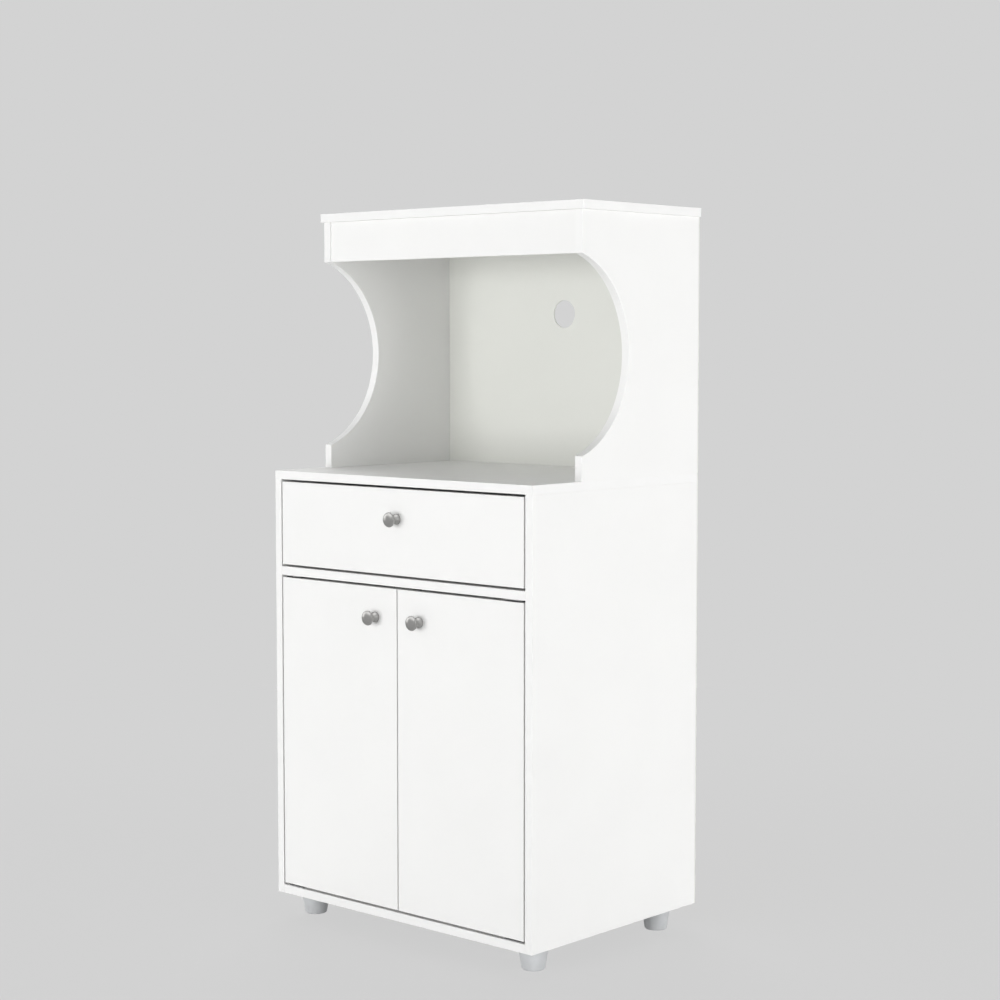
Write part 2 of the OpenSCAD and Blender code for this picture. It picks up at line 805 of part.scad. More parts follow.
module door_strike_plate()
    color(zinc) in_cabinet() translate([magnet_x - 1, board_t, divider_z - catch_h + 1])
        cube([magnet_w + 2, strike_t, magnet_h + 2]);

module door_right_strike_plate() door_strike_plate();
module door_left_strike_plate() left_half() door_strike_plate();

// ---- doors ---------------------------------------------------------------------------

module door() {
    door_w = front_edge_x - middle_gap / 2;
    color(white) in_cabinet() difference() {
        translate([middle_gap / 2, 0, door_z]) cube([door_w, board_t, door_top - door_z]);
        from_side() both_door_ends() at_pin() {
            // seat of the hinge plate, and the pin's hole under it
            translate([0, 0, door_top - plate_t]) {
                cylinder(r = plate_r, h = plate_t + 1);
                translate([0, -plate_r, 0]) cube([plate_len, 2 * plate_r, plate_t + 1]);
            }
            translate([0, 0, door_top - plate_t - pin_into_door - 1])
                cylinder(r = pin_r + 0.3, h = pin_into_door + 2);
            at_plate_screws() translate([0, 0, door_top]) screw_form(door_screw_len);
        }
        knob_hole(knob_out, door_knob_z);
    }
}

module door_right() door();
module door_left() left_half() door();

// ---- knobs ---------------------------------------------------------------------------

module knob_hole(x, z)
    translate([x, -1, z]) rotate([-90, 0, 0]) cylinder(r = knob_screw_r + 0.3, h = board_t + 2);

// Mushroom knob: a flared foot, a waisted neck and a domed head with a soft rim
module knob() {
    head_r = knob_d / 2;
    flare_r = 9;
    neck_r = 4.4;
    rim_up = knob_len - 6.5;
    rim_r = 1.3;
    waist = [for (a = [0 : 10 : 180]) let (t = a / 180)
        [neck_r + (flare_r - neck_r) * pow(cos(a / 2), 6)
            + (head_r - 3 - neck_r) * pow(sin(a / 2), 10), 1.2 + (rim_up - 3.2) * t]];
    rim = [for (a = [-90 : 30 : 0]) [head_r - rim_r + rim_r * cos(a), rim_up + rim_r * sin(a)]];
    dome = [for (a = [10 : 10 : 90]) [head_r * cos(a), rim_up + (knob_len - rim_up) * sin(a)]];
    difference() {
        rotate_extrude($fn = 64) polygon(concat([[0, 0], [flare_r, 0]], waist, rim, dome));
        translate([0, 0, -1]) cylinder(r = knob_screw_r, h = knob_screw_in + 1.6);
    }
}

module knob_at(x, z) color(nickel) in_cabinet() translate([x, 0, z]) rotate([90, 0, 0]) knob();

// Pan-head screw from behind the front into the knob
module knob_screw_at(x, z) {
    head_r = 4;
    head_h = 2.4;
    color(zinc) in_cabinet() translate([x, board_t, z]) rotate([-90, 0, 0]) difference() {
        union() {
            cylinder(r = head_r, h = head_h - 0.8);
            translate([0, 0, head_h - 0.8]) cylinder(r1 = head_r, r2 = head_r - 0.8, h = 0.8);
            translate([0, 0, -board_t - knob_screw_in])
                cylinder(r = knob_screw_r, h = board_t + knob_screw_in);
        }
        for (turn = [0, 90]) rotate(turn) translate([0, 0, head_h]) cube([4.4, 0.9, 2], center = true);
    }
}

module drawer_knob() knob_at(0, drawer_knob_z);
module drawer_knob_screw() knob_screw_at(0, drawer_knob_z);
module door_right_knob() knob_at(knob_out, door_knob_z);
module door_right_knob_screw() knob_screw_at(knob_out, door_knob_z);
module door_left_knob() knob_at(-knob_out, door_knob_z);
module door_left_knob_screw() knob_screw_at(-knob_out, door_knob_z);

// ---- assembly ------------------------------------------------------------------------

base_side_left();
base_side_right();
base_bottom_panel();
worktop();
divider_panel();
base_back_panel();
adjustable_shelf();
shelf_pins();
hutch_side_left();
hutch_side_right();
hutch_top();
hutch_rail();
hutch_back_panel();
foot_front_left();
foot_front_right();
foot_rear_left();
foot_rear_right();
foot_screws();
cam_locks();
cam_bolts();
dowels();
hutch_screws();
back_nails();
fitting_screws();
cabinet_runner_left();
cabinet_runner_right();
front_rollers();
hinge_frame_plates();
hinge_pins();
hinge_washers();
catch_body();
catch_magnets();
drawer_front();
drawer_side_left();
drawer_side_right();
drawer_back();
drawer_bottom();
drawer_runner_left();
drawer_runner_right();
rear_rollers();
drawer_runner_screws();
drawer_back_screws();
drawer_cam_locks();
drawer_cam_bolts();
drawer_dowels();
drawer_knob();
drawer_knob_screw();
door_left();
door_left_hinge_plates();
door_left_hinge_screws();
door_left_strike_plate();
door_left_knob();
door_left_knob_screw();
door_right();
door_right_hinge_plates();
door_right_hinge_screws();
door_right_strike_plate();
door_right_knob();
door_right_knob_screw();
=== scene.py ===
import json
import math

import bmesh
import bpy
from mathutils import Matrix, Vector

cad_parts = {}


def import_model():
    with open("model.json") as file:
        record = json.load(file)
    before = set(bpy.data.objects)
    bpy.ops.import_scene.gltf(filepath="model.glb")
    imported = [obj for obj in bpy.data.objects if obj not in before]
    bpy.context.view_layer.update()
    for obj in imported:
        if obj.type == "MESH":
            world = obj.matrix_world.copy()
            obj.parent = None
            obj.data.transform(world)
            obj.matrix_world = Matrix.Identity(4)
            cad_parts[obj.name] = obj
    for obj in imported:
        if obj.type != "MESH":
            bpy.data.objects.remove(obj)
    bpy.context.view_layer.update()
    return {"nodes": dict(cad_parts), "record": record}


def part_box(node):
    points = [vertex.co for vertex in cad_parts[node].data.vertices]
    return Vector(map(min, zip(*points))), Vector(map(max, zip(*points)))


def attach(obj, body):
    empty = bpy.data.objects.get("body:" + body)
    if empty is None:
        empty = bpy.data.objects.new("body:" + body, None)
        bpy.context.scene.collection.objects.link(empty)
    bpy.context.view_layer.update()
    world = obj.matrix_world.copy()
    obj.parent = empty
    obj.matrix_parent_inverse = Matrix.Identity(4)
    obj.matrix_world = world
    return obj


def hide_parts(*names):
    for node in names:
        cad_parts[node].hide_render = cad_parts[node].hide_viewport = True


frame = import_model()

# ---- the frame's tables, and sizes in metres -------------------------------------------

BODY_OF = {node: body for body, nodes in frame["record"]["behaviour"]["bodies"].items()
           for node in nodes}
SLOT_OF = {row["node"]: row["material_slot"] for row in frame["record"]["subparts"]}

MM = 0.001
WELD_DISTANCE = 2e-6
ON_PLANE = 2e-5
SQUARE_ON = 0.999
ON_AXIS = 1e-7
EDGE_ROUNDING = 0.0005

# cut-out of the hutch's side panels: half its height, its depth and its arc's radius
CUT_HALF_CHORD = 0.163
CUT_DEPTH = 0.120
CUT_RADIUS = (CUT_HALF_CHORD ** 2 + CUT_DEPTH ** 2) / (2 * CUT_DEPTH)


# ---- node-based materials --------------------------------------------------------------

# a noise texture's factor stays mostly within these values
NOISE_LOW, NOISE_HIGH = 0.3, 0.7


class Shader:
    """A material with a Principled shader, and short calls that add and join its nodes."""

    def __init__(self, name, colour, roughness, metallic=0.0, **sockets):
        self.mat = bpy.data.materials.new(name)
        self.mat.use_nodes = True
        self.mat.diffuse_color = (*colour, 1)
        self.tree = self.mat.node_tree
        self.tree.nodes.clear()
        self.out = self.tree.nodes.new("ShaderNodeOutputMaterial")
        self.bsdf = self.tree.nodes.new("ShaderNodeBsdfPrincipled")
        self.bsdf.inputs["Base Color"].default_value = (*colour, 1)
        self.bsdf.inputs["Roughness"].default_value = roughness
        self.bsdf.inputs["Metallic"].default_value = metallic
        for socket, value in sockets.items():
            self.bsdf.inputs[socket.replace("_", " ")].default_value = value
        self.join(self.bsdf, "BSDF", self.out, "Surface")
        self.coords = self.tree.nodes.new("ShaderNodeTexCoord")

    def join(self, a, a_socket, b, b_socket):
        self.tree.links.new(a.outputs[a_socket], b.inputs[b_socket])

    def place(self, node, stretch=None):
        """Puts a texture in the object's own coordinates, scaled by stretch along x, y and z."""
        if stretch is None:
            self.join(self.coords, "Object", node, "Vector")
            return
        mapping = self.tree.nodes.new("ShaderNodeMapping")
        mapping.inputs["Scale"].default_value = stretch
        self.join(self.coords, "Object", mapping, "Vector")
        self.join(mapping, "Vector", node, "Vector")

    def noise(self, scale, detail=2.0, rough=0.5, stretch=None):
        node = self.tree.nodes.new("ShaderNodeTexNoise")
        node.inputs["Scale"].default_value = scale
        node.inputs["Detail"].default_value = detail
        node.inputs["Roughness"].default_value = rough
        self.place(node, stretch)
        return node, "Fac"

    def voronoi(self, scale, output="Distance", stretch=None):
        node = self.tree.nodes.new("ShaderNodeTexVoronoi")
        node.inputs["Scale"].default_value = scale
        self.place(node, stretch)
        return node, output

    def bands(self, scale, direction):
        """Parallel waves across the named axis."""
        node = self.tree.nodes.new("ShaderNodeTexWave")
        node.bands_direction = direction
        node.inputs["Scale"].default_value = scale
        self.place(node)
        return node, "Fac"

    def rings(self, scale, axis, distortion):
        """Waves in rings round the named axis."""
        node = self.tree.nodes.new("ShaderNodeTexWave")
        node.wave_type = "RINGS"
        node.rings_direction = axis
        node.inputs["Scale"].default_value = scale
        node.inputs["Distortion"].default_value = distortion
        self.place(node)
        return node, "Fac"

    def product(self, *sources):
        node = self.tree.nodes.new("ShaderNodeMath")
        node.operation = "MULTIPLY"
        for i, (source, socket) in enumerate(sources):
            self.tree.links.new(source.outputs[socket], node.inputs[i])
        return node, "Value"

    def ramp(self, source, stops):
        node = self.tree.nodes.new("ShaderNodeValToRGB")
        while len(node.color_ramp.elements) < len(stops):
            node.color_ramp.elements.new(1)
        for element, (at, colour) in zip(node.color_ramp.elements, stops):
            element.position = at
            element.color = (*colour, 1)
        self.join(source[0], source[1], node, "Fac")
        return node, "Color"

    def colour(self, source):
        self.join(source[0], source[1], self.bsdf, "Base Color")

    def mottle(self, colour, source, low, high):
        """The base colour wanders between low and high times the given colour."""
        darker, lighter = (tuple(c * factor for c in colour) for factor in (low, high))
        self.colour(self.ramp(source, [(NOISE_LOW, darker), (NOISE_HIGH, lighter)]))

    def roughness(self, source, low, high):
        node = self.tree.nodes.new("ShaderNodeMapRange")
        for socket, value in (("From Min", NOISE_LOW), ("From Max", NOISE_HIGH),
                              ("To Min", low), ("To Max", high)):
            node.inputs[socket].default_value = value
        self.join(source[0], source[1], node, "Value")
        self.join(node, "Result", self.bsdf, "Roughness")

    def bump(self, source, height, strength):
        node = self.tree.nodes.new("ShaderNodeBump")
        node.inputs["Distance"].default_value = height
        node.inputs["Strength"].default_value = strength
        self.join(source[0], source[1], node, "Height")
        before = self.bsdf.inputs["Normal"].links
        if before:
            self.tree.links.new(before[0].from_socket, node.inputs["Normal"])
        self.join(node, "Normal", self.bsdf, "Normal")


def melamine():
    """White coated face: fine pearl texture, faint cloudiness."""
    white = (0.885, 0.885, 0.875)
    s = Shader("melamine", white, 0.4)
    s.mottle(white, s.noise(7, 3), 0.985, 1.0)
    s.roughness(s.noise(55, 3), 0.36, 0.46)
    s.bump(s.noise(1100, 2, 0.6), 0.00005, 0.35)
    s.bump(s.voronoi(650), 0.00004, 0.25)
    return s.mat


def edge_band():
    """White edging tape: smoother than the faces, slightly uneven."""
    white = (0.89, 0.89, 0.882)
    s = Shader("edge_band", white, 0.38)
    s.mottle(white, s.noise(30, 2), 0.985, 1.0)
    s.roughness(s.noise(90, 2), 0.35, 0.43)
    s.bump(s.noise(320, 2), 0.00004, 0.3)
    return s.mat


def chipboard():
    """Raw core of the board: pale chips in a darker binder."""
    s = Shader("chipboard", (0.45, 0.32, 0.19), 0.85)
    chips = s.voronoi(520, output="Color", stretch=(1, 1, 2.4))
    shade = s.tree.nodes.new("ShaderNodeSeparateColor")
    s.join(chips[0], "Color", shade, "Color")
    s.colour(s.ramp((shade, "Red"), [(0.0, (0.24, 0.14, 0.07)), (0.45, (0.46, 0.32, 0.18)),
                                    (1.0, (0.66, 0.52, 0.33))]))
    s.bump((shade, "Green"), 0.0004, 0.6)
    return s.mat


def lacquered_hardboard():
    """Inner face of the backs: white lacquer on hardboard, slightly warmer and duller."""
    white = (0.765, 0.773, 0.733)
    s = Shader("lacquered_hardboard", white, 0.42)
    s.mottle(white, s.noise(5, 3), 0.98, 1.0)
    s.roughness(s.noise(40, 3), 0.38, 0.5)
    s.bump(s.noise(420, 3, 0.6), 0.00006, 0.4)
    return s.mat


def bare_hardboard():
    """Outer face of the backs: brown fibreboard with the screen's imprint."""
    s = Shader("bare_hardboard", (0.27, 0.165, 0.09), 0.75)
    fibres = s.noise(160, 5, 0.65)
    s.colour(s.ramp(fibres, [(0.25, (0.2, 0.118, 0.06)), (0.5, (0.28, 0.172, 0.095)),
                             (0.8, (0.36, 0.235, 0.14))]))
    weave = s.product(s.bands(75, "X"), s.bands(75, "Z"))
    s.bump(weave, 0.00025, 0.7)
    s.bump(fibres, 0.0002, 0.4)
    return s.mat


def satin_nickel():
    """Turned and plated knob: faint rings round its axis."""
    metal = (0.42, 0.417, 0.408)
    s = Shader("satin_nickel", metal, 0.33, 1.0, Specular_Tint=(0.25, 0.25, 0.25, 1))
    s.mottle(metal, s.noise(220, 3), 0.93, 1.0)
    s.roughness(s.noise(500, 3), 0.3, 0.37)
    s.bump(s.rings(900, "Y", 1.5), 0.00001, 0.5)
    return s.mat


def foot_plastic():
    """Light grey moulded plastic with a fine grain."""
    grey = (0.56, 0.572, 0.583)
    s = Shader("foot_plastic", grey, 0.42)
    s.mottle(grey, s.noise(60, 3), 0.96, 1.03)
    s.roughness(s.noise(300, 2), 0.36, 0.5)
    s.bump(s.noise(1500, 2), 0.00006, 0.5)
    return s.mat


def zinc_plate():
    """Bright zinc on screws, cam locks and strike plates, with a slight mottle."""
    metal = (0.58, 0.59, 0.61)
    s = Shader("zinc_plate", metal, 0.36, 1.0)
    s.mottle(metal, s.noise(420, 4), 0.88, 1.06)
    s.roughness(s.noise(260, 3), 0.28, 0.46)
    s.bump(s.noise(1300, 2), 0.00005, 0.4)
    return s.mat


def dull_zinc():
    """Dull zinc on the hinge plates, with a faint mottle."""
    metal = (0.56, 0.56, 0.568)
    s = Shader("dull_zinc", metal, 0.45, 1.0)
    s.mottle(metal, s.noise(380, 4), 0.88, 1.06)
    s.roughness(s.noise(300, 3), 0.38, 0.54)
    s.bump(s.noise(1300, 2), 0.00005, 0.4)
    return s.mat


def black_plastic():
    """Black moulded plastic of the catch and the hinge washers."""
    black = (0.028, 0.028, 0.03)
    s = Shader("black_plastic", black, 0.5)
    s.mottle(black, s.noise(180, 3), 0.85, 1.2)
    s.roughness(s.noise(400, 2), 0.44, 0.58)
    s.bump(s.noise(1500, 2), 0.00006, 0.5)
    return s.mat


def bright_steel():
    """Bright steel of pins, cam bolts and nails."""
    metal = (0.64, 0.65, 0.66)
    s = Shader("bright_steel", metal, 0.28, 1.0)
    s.mottle(metal, s.noise(600, 3), 0.92, 1.03)
    s.roughness(s.noise(700, 3), 0.22, 0.36)
    s.bump(s.noise(1800, 2), 0.00003, 0.4)
    return s.mat


def coated_steel():
    """White epoxy coat on the runners, with a slight orange peel."""
    white = (0.84, 0.84, 0.83)
    s = Shader("coated_steel", white, 0.3)
    s.mottle(white, s.noise(30, 3), 0.98, 1.0)
    s.roughness(s.noise(200, 2), 0.25, 0.36)
    s.bump(s.noise(900, 2), 0.00005, 0.5)
    return s.mat


def nylon():
    """White moulded nylon, slightly translucent."""
    white = (0.82, 0.82, 0.78)
    s = Shader("nylon", white, 0.38, Subsurface_Weight=0.08)
    s.mottle(white, s.noise(80, 3), 0.97, 1.0)
    s.roughness(s.noise(240, 2), 0.32, 0.46)
    s.bump(s.noise(1400, 2), 0.00004, 0.4)
    return s.mat


def beech():
    """Beech dowels with the grain along them."""
    s = Shader("beech", (0.6, 0.43, 0.26), 0.6)
    grain = s.noise(500, 3, 0.5, stretch=(0.12, 1, 1))
    s.colour(s.ramp(grain, [(NOISE_LOW, (0.5, 0.34, 0.19)), (NOISE_HIGH, (0.68, 0.5, 0.31))]))
    s.bump(grain, 0.0001, 0.5)
    return s.mat


def ferrite():
    """Sintered magnets: nearly black, with a fine grain."""
    s = Shader("ferrite", (0.03, 0.03, 0.033), 0.55)
    s.colour(s.ramp(s.noise(700, 3), [(NOISE_LOW, (0.024, 0.024, 0.027)),
                                      (NOISE_HIGH, (0.042, 0.042, 0.045))]))
    s.bump(s.noise(1600, 2), 0.00006, 0.5)
    return s.mat


MAT = {make.__name__: make() for make in (
    melamine, edge_band, chipboard, lacquered_hardboard, bare_hardboard, satin_nickel,
    foot_plastic, zinc_plate, dull_zinc, black_plastic, bright_steel, coated_steel, nylon,
    beech, ferrite)}

SLOT_MATERIAL = {
    "white_board": "melamine", "white_hardboard": "lacquered_hardboard",
    "grey_plastic": "foot_plastic", "satin_nickel": "satin_nickel",
    "white_steel": "coated_steel", "white_nylon": "nylon", "zinc_plate": "zinc_plate",
    "dull_zinc": "dull_zinc", "black_plastic": "black_plastic",
    "bright_steel": "bright_steel", "beech": "beech", "black_ferrite": "ferrite"}


def dress_cad_nodes():
    """Every carried-over CAD node gets its slot's procedural material."""
    for node, obj in frame["nodes"].items():
        obj.data.materials.clear()
        obj.data.materials.append(MAT[SLOT_MATERIAL[SLOT_OF[node]]])


# ---- pieces ----------------------------------------------------------------------------

def add_piece(name, mesh, node, materials):
    """A finished piece that stands for one CAD node, on its body, with the given materials."""
    for material in materials:
        mesh.materials.append(MAT[material])
    obj = bpy.data.objects.new(name, mesh)
    bpy.context.scene.collection.objects.link(obj)
    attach(obj, BODY_OF[node])
    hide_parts(node)
    return obj


def clean_copy(node):
    """The node's mesh, welded, with its flat faces whole."""
    bm = bmesh.new()
    bm.from_mesh(frame["nodes"][node].data)
    bmesh.ops.remove_doubles(bm, verts=bm.verts, dist=WELD_DISTANCE)
    bmesh.ops.dissolve_limit(bm, angle_limit=math.radians(0.1), verts=bm.verts, edges=bm.edges)
    return bm


# a box's sides are named by the way they face
SIDES = ("-x", "+x", "-y", "+y", "-z", "+z")


def side_of(face, lo, hi):
    """Which side of the box a face lies on, or None."""
    centre = face.calc_center_median()
    for i in range(3):
        if abs(face.normal[i]) > SQUARE_ON:
            if abs(centre[i] - lo[i]) < ON_PLANE:
                return SIDES[2 * i]
            if abs(centre[i] - hi[i]) < ON_PLANE:
                return SIDES[2 * i + 1]
    return None


def on_box_edge(edge, lo, hi):
    """True if an edge runs along one of the box's twelve edges."""
    planes = 0
    for i in range(3):
        for limit in (lo[i], hi[i]):
            if all(abs(v.co[i] - limit) < ON_PLANE for v in edge.verts):
                planes += 1
    return planes >= 2


def soften(bm):
    """Curved walls shade smoothly; flat faces and their borders stay crisp."""
    flat, sharp = math.radians(0.4), math.radians(24)
    for face in bm.faces:
        face.smooth = False
    for edge in bm.edges:
        if len(edge.link_faces) != 2:
            edge.smooth = False
            continue
        angle = edge.calc_face_angle(0)
        edge.smooth = angle < sharp
        if flat < angle < sharp:
            for face in edge.link_faces:
                face.smooth = True


def weighted_normals(mesh):
    """Each corner's normal follows the larger faces round it, so flat faces stay flat."""
    least = math.cos(math.radians(35))
    faces_at = [[] for _ in mesh.vertices]
    for face in mesh.polygons:
        for v in face.vertices:
            faces_at[v].append(face)
    normals = []
    for face in mesh.polygons:
        for v in face.vertices:
            total = Vector((0, 0, 0))
            for other in faces_at[v]:
                if other.normal.dot(face.normal) > least:
                    total += other.normal * other.area
            normals.append(total.normalized() if total.length > 0 else face.normal.copy())
    mesh.polygons.foreach_set("use_smooth", [True] * len(mesh.polygons))
    mesh.normals_split_custom_set(normals)


def refine_cut(bm, centre_y, centre_z):
    """Finer steps along the hutch side's cut-out; returns the arc's edges on both faces."""
    on_arc, chord_sag, same_x = 3e-5, 4e-4, 1e-5

    def off_circle(v):
        return abs(math.hypot(v.co.y - centre_y, v.co.z - centre_z) - CUT_RADIUS)

    def arc_edges():
        return [e for e in bm.edges if all(off_circle(v) < on_arc for v in e.verts)
                and abs(e.verts[0].co.x - e.verts[1].co.x) < same_x]

    bmesh.ops.subdivide_edges(bm, edges=arc_edges(), cuts=3, use_grid_fill=True)
    for v in bm.verts:
        if off_circle(v) < chord_sag:
            away = Vector((0, v.co.y - centre_y, v.co.z - centre_z)).normalized() * CUT_RADIUS
            v.co.y = centre_y + away.y
            v.co.z = centre_z + away.z
    return arc_edges()


FACE, BAND, CORE = 0, 1, 2
BOARD_MATERIALS = ("melamine", "edge_band", "chipboard")


def board(node, banded, raw, cut=None):
    """A coated board: edging on the banded sides, bare core on the raw ones and in its holes."""
    bm = clean_copy(node)
    lo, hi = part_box(node)
    arcs = refine_cut(bm, *cut) if cut else []
    bm.normal_update()
    for face in bm.faces:
        side = side_of(face, lo, hi)
        if side is None or side in raw:
            face.material_index = CORE
        else:
            face.material_index = BAND if side in banded else FACE
    for edge in arcs:
        for face in edge.link_faces:
            if side_of(face, lo, hi) is None:
                face.material_index = BAND
    edges = [e for e in bm.edges if on_box_edge(e, lo, hi)] + arcs
    bmesh.ops.bevel(bm, geom=edges, offset=EDGE_ROUNDING, segments=3, profile=0.5,
                    affect="EDGES", clamp_overlap=True, loop_slide=True)
    bm.normal_update()
    mesh = bpy.data.meshes.new(node + "_board")
    bm.to_mesh(mesh)
    bm.free()
    weighted_normals(mesh)
    add_piece(node + "_board", mesh, node, BOARD_MATERIALS)


def cut_centre(node):
    """Centre (y, z) of the arc of a hutch side's cut-out."""
    front_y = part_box(node)[0].y
    rail_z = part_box("hutch_rail")[0].z
    return front_y + CUT_DEPTH - CUT_RADIUS, rail_z - CUT_HALF_CHORD


def all_boards():
    """Every coated board, with its banded sides and then its raw ones."""
    front_edges = ("-x", "+x", "-z", "+z")
    for side in ("_left", "_right"):
        board("base_side" + side, ("-y", "-z"), ("+y", "+z"))
        hutch_side = "hutch_side" + side
        board(hutch_side, ("-y",), ("+y", "+z", "-z"), cut_centre(hutch_side))
        board("drawer_side" + side, ("+z",), ("-y", "+y", "-z"))
        board("door" + side, front_edges, ())
    for top in ("worktop", "hutch_top"):
        board(top, ("-x", "+x", "-y"), ("+y",))
    for level in ("base_bottom_panel", "divider_panel", "adjustable_shelf"):
        board(level, ("-y",), ("-x", "+x", "+y"))
    board("hutch_rail", ("-z",), ("-x", "+x", "+z"))
    board("drawer_front", front_edges, ())
    board("drawer_back", ("+z",), ("-x", "+x", "-z"))


def sheet_panel(node, bare_side):
    """A hardboard back or bottom: lacquer inside, bare screen-backed fibre outside."""
    bm = clean_copy(node)
    lo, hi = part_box(node)
    bm.normal_update()
    for face in bm.faces:
        side = side_of(face, lo, hi)
        face.material_index = 1 if side == bare_side else 0
    soften(bm)
    mesh = bpy.data.meshes.new(node + "_sheet")
    bm.to_mesh(mesh)
    bm.free()
    add_piece(node + "_sheet", mesh, node, ("lacquered_hardboard", "bare_hardboard"))


def lathe(name, profile, segments):
    """Revolves (radius, height) points round +Z, with smooth sides; an end on the axis closes."""
    bm = bmesh.new()
    rings = []
    for radius, height in profile:
        if radius < ON_AXIS:
            rings.append([bm.verts.new((0, 0, height))])
        else:
            rings.append([bm.verts.new((radius * math.cos(a), radius * math.sin(a), height))
                          for a in (2 * math.pi * i / segments for i in range(segments))])
    for low, high in zip(rings, rings[1:]):
        for i in range(segments):
            j = (i + 1) % segments
            quad = [low[i % len(low)], low[j % len(low)], high[j % len(high)], high[i % len(high)]]
            corners = list(dict.fromkeys(quad))
            if len(corners) > 2:
                bm.faces.new(corners)
    bmesh.ops.recalc_face_normals(bm, faces=bm.faces)
    bm.normal_update()
    for face in bm.faces:
        face.smooth = True
    for edge in bm.edges:
        if edge.calc_face_angle(0) > math.radians(40):
            edge.smooth = False
    mesh = bpy.data.meshes.new(name)
    bm.to_mesh(mesh)
    bm.free()
    return mesh


def knob_profile():
    """Flared foot, waisted neck and domed head with a soft rim, from the front's face out."""
    head_r, flare_r, neck_r, rim_r = 12.5, 9.0, 4.4, 1.3
    length, dome_h = 25.0, 6.5
    foot_chamfer, neck_from = 0.3, 1.2
    under_head_r, under_head_gap = head_r - 3, 2.0
    neck_steps, rim_steps, dome_steps = 36, 8, 24

    rim_up = length - dome_h
    neck_to = rim_up - under_head_gap
    points = [(0, 0.0), (flare_r - foot_chamfer, 0.0), (flare_r, foot_chamfer)]
    for i in range(1, neck_steps + 1):
        t = i / neck_steps
        flare = (flare_r - neck_r) * math.cos(math.pi * t / 2) ** 6
        throat = (under_head_r - neck_r) * math.sin(math.pi * t / 2) ** 10
        points.append((neck_r + flare + throat, neck_from + (neck_to - neck_from) * t))
    for i in range(rim_steps + 1):
        a = math.radians(-90 + 90 * i / rim_steps)
        points.append((head_r - rim_r + rim_r * math.cos(a), rim_up + rim_r * math.sin(a)))
    for i in range(1, dome_steps + 1):
        a = math.radians(90 * i / dome_steps)
        points.append((head_r * math.cos(a), rim_up + dome_h * math.sin(a)))
    return [(r * MM, h * MM) for r, h in points]


KNOB_STEPS = 128


def knobs():
    """The three turned knobs, each on the face of its front."""
    for node in ("drawer_knob", "door_left_knob", "door_right_knob"):
        mesh = lathe(node + "_turned", knob_profile(), KNOB_STEPS)
        lo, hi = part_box(node)
        mesh.transform(Matrix.Rotation(math.radians(90), 4, "X"))
        obj = add_piece(node + "_turned", mesh, node, ("satin_nickel",))
        obj.matrix_world = Matrix.Translation(((lo.x + hi.x) / 2, hi.y, (lo.z + hi.z) / 2))


# ---- studio, light and camera ----------------------------------------------------------

STUDIO_GREY = (0.651, 0.651, 0.651)
STUDIO_STEPS = 96
# near the object this share of the floor is plain colour, and the rest takes its shade
FLAT_SHARE = 0.9
# the shade fades out between these distances from the object
SHADE_FADE = (0.9, 2.6)
WORLD_LEVEL = 0.43
# name, place, height of the point on the cabinet's axis that it faces, size, power in watts
SOFTBOXES = (
    ("front_softbox", (0.1, -5.0, 0.85), 0.65, (4.6, 1.8), 170),
    ("side_softbox", (5.2, 0.5, 0.8), 0.6, (3.0, 1.6), 152),
    ("rear_softbox", (-3.6, 3.4, 3.0), 0.7, (3.0, 3.0), 200))
PANELS = (
    ("overhead_panel", (-0.5, -1.6, 3.2), 0.7, (5.0, 3.2), 60),
    ("side_panel", (3.6, -1.9, 1.3), 0.7, (0.8, 1.2), 6),
    ("left_panel", (-4.0, -0.9, 1.6), 0.7, (3.2, 2.4), 50))
# the photograph's viewpoint, fitted to the cabinet's corners, in metres and degrees
CAMERA_AT = (2.48918, -2.70705, 1.01549)
CAMERA_DOWN, CAMERA_TURN = 4.242, 42.048
# focal length and sensor width in millimetres
CAMERA_LENS, CAMERA_SENSOR = 76.491, 36.0


def seen_directly(tree):
    """1 for rays from the camera, from gloss and through glass, else 0."""
    rays = tree.nodes.new("ShaderNodeLightPath")
    seen = rays.outputs["Is Camera Ray"]
    for kind in ("Is Glossy Ray", "Is Transmission Ray"):
        either = tree.nodes.new("ShaderNodeMath")
        either.operation = "MAXIMUM"
        tree.links.new(seen, either.inputs[0])
        tree.links.new(rays.outputs[kind], either.inputs[1])
        seen = either.outputs[0]
    return seen


def backdrop_material():
    """Pale backdrop colour, also in reflections; the floor keeps part of the object's shade."""
    mat = bpy.data.materials.new("studio")
    mat.use_nodes = True
    tree = mat.node_tree
    tree.nodes.clear()
    new, link = tree.nodes.new, tree.links.new
    out = new("ShaderNodeOutputMaterial")
    coords = new("ShaderNodeTexCoord")

    # shade kept near the object, plain colour further out
    length = new("ShaderNodeVectorMath")
    length.operation = "LENGTH"
    link(coords.outputs["Object"], length.inputs[0])
    fade = new("ShaderNodeMapRange")
    fade.interpolation_type = "SMOOTHSTEP"
    for socket, value in (("From Min", SHADE_FADE[0]), ("From Max", SHADE_FADE[1]),
                          ("To Min", FLAT_SHARE), ("To Max", 1.0)):
        fade.inputs[socket].default_value = value
    link(length.outputs["Value"], fade.inputs["Value"])
    share = new("ShaderNodeMath")
    share.operation = "MULTIPLY"
    link(seen_directly(tree), share.inputs[0])
    link(fade.outputs["Result"], share.inputs[1])

    lit = new("ShaderNodeBsdfDiffuse")
    lit.inputs["Color"].default_value = (*STUDIO_GREY, 1)
    flat = new("ShaderNodeEmission")
    flat.inputs["Color"].default_value = (*STUDIO_GREY, 1)
    mix = new("ShaderNodeMixShader")
    link(share.outputs[0], mix.inputs["Fac"])
    link(lit.outputs["BSDF"], mix.inputs[1])
    link(flat.outputs["Emission"], mix.inputs[2])
    link(mix.outputs["Shader"], out.inputs["Surface"])
    return mat


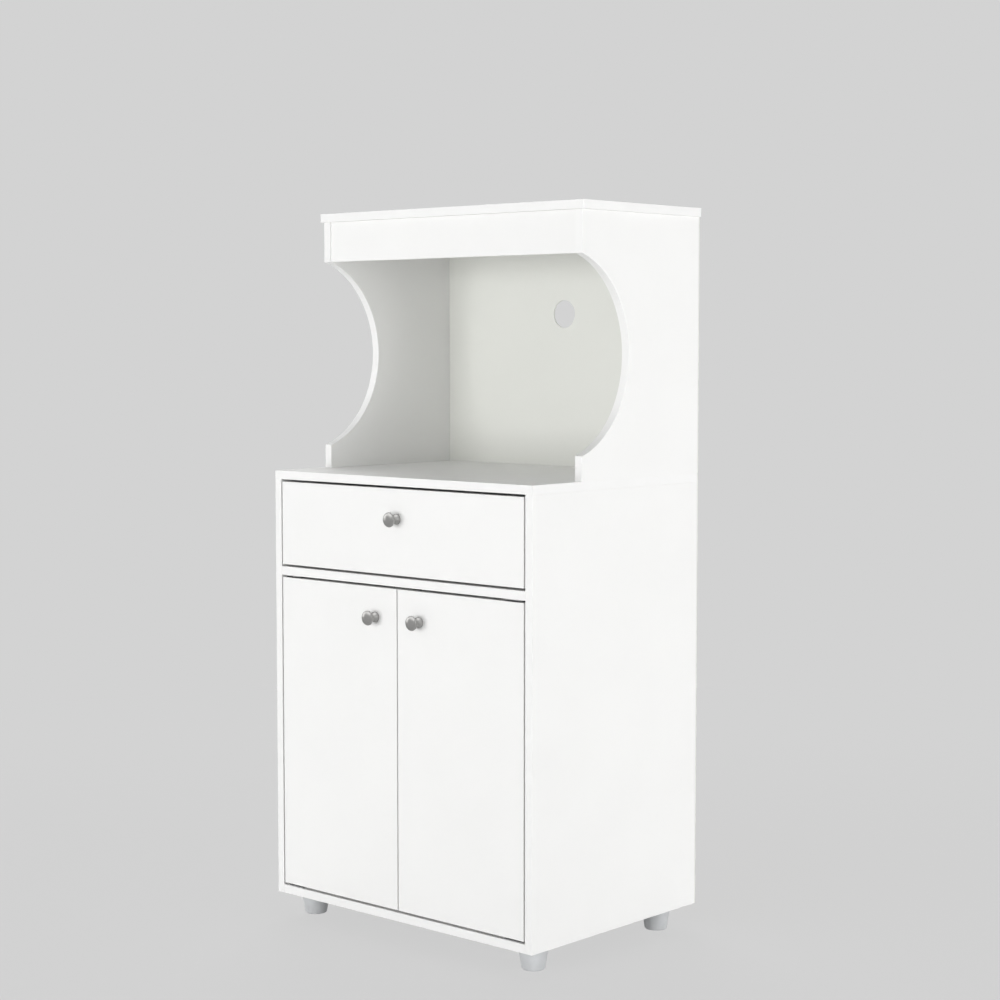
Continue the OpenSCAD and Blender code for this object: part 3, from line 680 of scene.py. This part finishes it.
def studio():
    """Plain pale floor that rises into a round backdrop."""
    radius, cove, height, steps = 9.0, 1.5, 9.0, 12
    profile = [(0, 0.0), (1.0, 0.0), (3.0, 0.0), (radius - cove, 0.0)]
    for i in range(1, steps + 1):
        a = math.radians(90 * i / steps)
        profile.append((radius - cove + cove * math.sin(a), cove - cove * math.cos(a)))
    profile.append((radius, height))
    mesh = lathe("studio", profile, STUDIO_STEPS)
    mesh.materials.append(backdrop_material())
    floor = bpy.data.objects.new("studio", mesh)
    bpy.context.scene.collection.objects.link(floor)


def world():
    """Soft even light from all round, seen directly as the backdrop's colour."""
    surround = bpy.data.worlds.new("studio_light")
    bpy.context.scene.world = surround
    surround.use_nodes = True
    tree = surround.node_tree
    tree.nodes.clear()
    new = tree.nodes.new
    out = new("ShaderNodeOutputWorld")
    back = new("ShaderNodeBackground")
    back.inputs["Color"].default_value = (1.0, 1.0, 1.0, 1)
    level = new("ShaderNodeMapRange")
    level.inputs["To Min"].default_value = WORLD_LEVEL
    level.inputs["To Max"].default_value = STUDIO_GREY[0]
    tree.links.new(seen_directly(tree), level.inputs["Value"])
    tree.links.new(level.outputs["Result"], back.inputs["Strength"])
    tree.links.new(back.outputs["Background"], out.inputs["Surface"])


def lamp(name, at, aim_z, size, power):
    """A rectangular area light that faces the cabinet's axis at the height aim_z."""
    data = bpy.data.lights.new(name, "AREA")
    data.shape = "RECTANGLE"
    data.size, data.size_y = size
    data.energy = power
    obj = bpy.data.objects.new(name, data)
    bpy.context.scene.collection.objects.link(obj)
    obj.location = at
    aim = Vector((0, 0, aim_z)) - Vector(at)
    obj.rotation_euler = aim.to_track_quat("-Z", "Y").to_euler()
    obj.visible_camera = False
    return obj


def lamps():
    """Wide softboxes light all sides; gloss shows the soft panels in their place."""
    for row in SOFTBOXES:
        lamp(*row).visible_glossy = False
    for row in PANELS:
        lamp(*row).visible_diffuse = False


def camera():
    """A plain camera at the photograph's viewpoint."""
    data = bpy.data.cameras.new("camera")
    data.sensor_width = CAMERA_SENSOR
    data.lens = CAMERA_LENS
    obj = bpy.data.objects.new("camera", data)
    bpy.context.scene.collection.objects.link(obj)
    obj.location = CAMERA_AT
    obj.rotation_euler = (math.radians(90 - CAMERA_DOWN), 0, math.radians(CAMERA_TURN))
    bpy.context.scene.camera = obj


bpy.context.scene.view_settings.view_transform = "Standard"
dress_cad_nodes()
all_boards()
for back in ("hutch_back_panel", "base_back_panel"):
    sheet_panel(back, "+y")
sheet_panel("drawer_bottom", "-z")
knobs()
studio()
world()
lamps()
camera()
